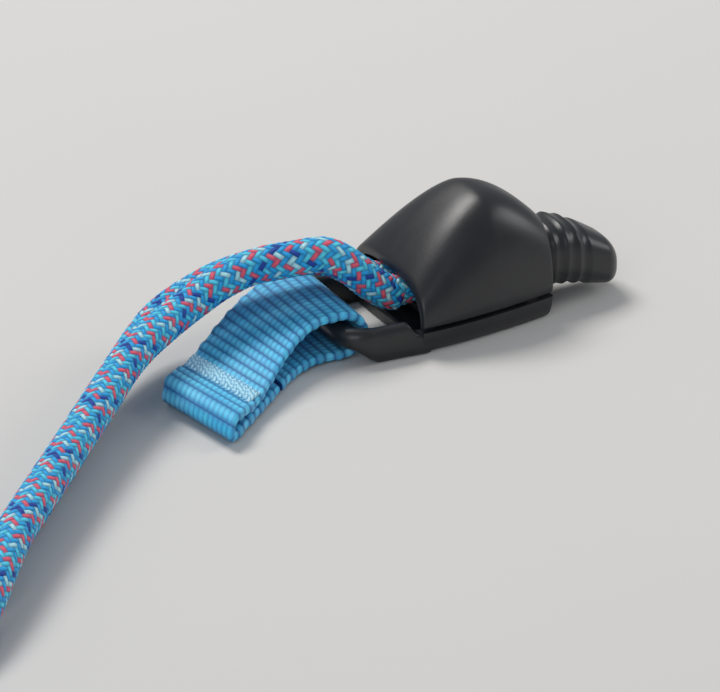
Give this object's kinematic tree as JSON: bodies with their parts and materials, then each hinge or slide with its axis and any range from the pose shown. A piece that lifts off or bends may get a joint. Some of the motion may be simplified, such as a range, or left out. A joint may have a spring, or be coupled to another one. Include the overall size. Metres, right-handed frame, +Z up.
{
  "type": "cord lock",
  "caption": "Spring cord lock with an anchor ring, a webbing pull tab and the doubled drawcord it holds; its ribbed tail is the release button.",
  "frame": {"origin": "centre of the housing's flat underside, between the mouth and the button", "axes": "+X along the lock towards the release button, -X towards the mouth and the anchor ring, +Z up through the housing's hump"},
  "size_m": [0.1189, 0.0592, 0.0133],
  "materials": {
    "housing_plastic": "satin moulded",
    "button_plastic": "satin moulded",
    "spring_steel": "drawn wire",
    "webbing": "ribbed plain weave",
    "stitching": "polyester thread",
    "drawcord": "braided, flecked",
    "tie": "woven hook-and-loop"
  },
  "bodies": {
    "lock": {"housing_base": "housing_plastic", "housing_cover": "housing_plastic", "plunger_spring": "spring_steel", "cord_left_inside": "drawcord", "cord_right_inside": "drawcord", "cord_left": "drawcord", "cord_right": "drawcord", "cord_coil": "drawcord", "coil_tie": "tie", "cord_knot_left": "drawcord", "cord_knot_right": "drawcord"},
    "plunger": {"release_plunger": "button_plastic"},
    "tab": {"webbing_tab": "webbing", "bartack_stitch": "stitching"}
  },
  "joints": [
    {"name": "plunger_press", "type": "slide", "parent": "lock", "child": "plunger", "axis": [-1, 0, 0], "range_m": [0, 0.0022], "stiffness_N_per_m": 400, "springref_m": -0.006, "deforming": ["plunger_spring"]},
    {"name": "tab_swing", "type": "hinge", "parent": "lock", "child": "tab", "pos_m": [-0.0135, 0, 0.00225], "axis": [0, 1, 0], "range_deg": [0, 8]}
  ]
}
